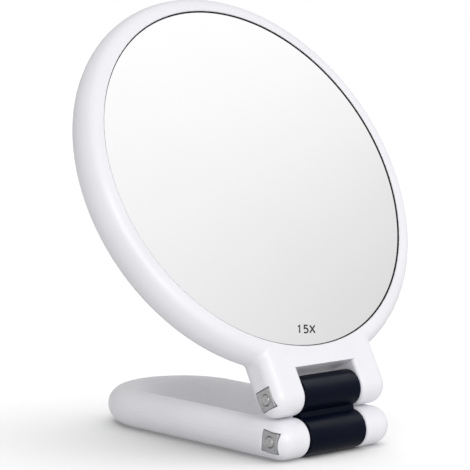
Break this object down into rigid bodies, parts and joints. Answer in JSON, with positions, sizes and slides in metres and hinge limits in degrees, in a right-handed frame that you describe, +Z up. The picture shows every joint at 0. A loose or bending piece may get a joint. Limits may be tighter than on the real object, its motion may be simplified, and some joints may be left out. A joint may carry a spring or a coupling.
{
  "type": "folding magnifying hand mirror",
  "caption": "Round double-sided magnifying hand mirror on a double-barrel friction hinge, with a looped handle that folds flat and serves as its stand.",
  "frame": {"origin": "middle of the footprint on the table, under the looped handle", "axes": "+Z up, the magnifying glass faces -Y and leans back, the handle lies along +Y, hinge axles run along X"},
  "size_m": [0.1552, 0.1182, 0.1672],
  "materials": {
    "white_plastic": "satin moulded ABS, cool white",
    "black_plastic": "satin moulded, near black",
    "mirror_glass": "polished, silvered",
    "black_foam": "matte closed-cell foam",
    "black_nylon": "matte",
    "zinc_steel": "zinc plated"
  },
  "bodies": {
    "handle": {"handle_body": "white_plastic", "handle_cover": "white_plastic", "cover_screws": "zinc_steel", "lower_axle_screw": "zinc_steel", "lower_nut": "zinc_steel", "lower_spring_washer": "zinc_steel"},
    "block": {"hinge_block": "black_plastic", "upper_sleeve": "zinc_steel", "lower_sleeve": "zinc_steel", "upper_friction_washers": "black_nylon", "lower_friction_washers": "black_nylon"},
    "head": {"head_frame": "white_plastic", "rear_bezel": "white_plastic", "bezel_screws": "zinc_steel", "magnifying_glass": "mirror_glass", "front_pad": "black_foam", "plain_glass": "mirror_glass", "rear_pad": "black_foam", "upper_axle_screw": "zinc_steel", "upper_nut": "zinc_steel", "upper_spring_washer": "zinc_steel"}
  },
  "joints": [
    {"name": "lower_hinge", "type": "hinge", "parent": "handle", "child": "block", "pos_m": [0, -0.0517, 0.00735], "axis": [1, 0, 0], "range_deg": [0, 200]},
    {"name": "upper_hinge", "type": "hinge", "parent": "block", "child": "head", "pos_m": [0, -0.04892, 0.0225], "axis": [1, 0, 0], "range_deg": [-57, 95]}
  ]
}
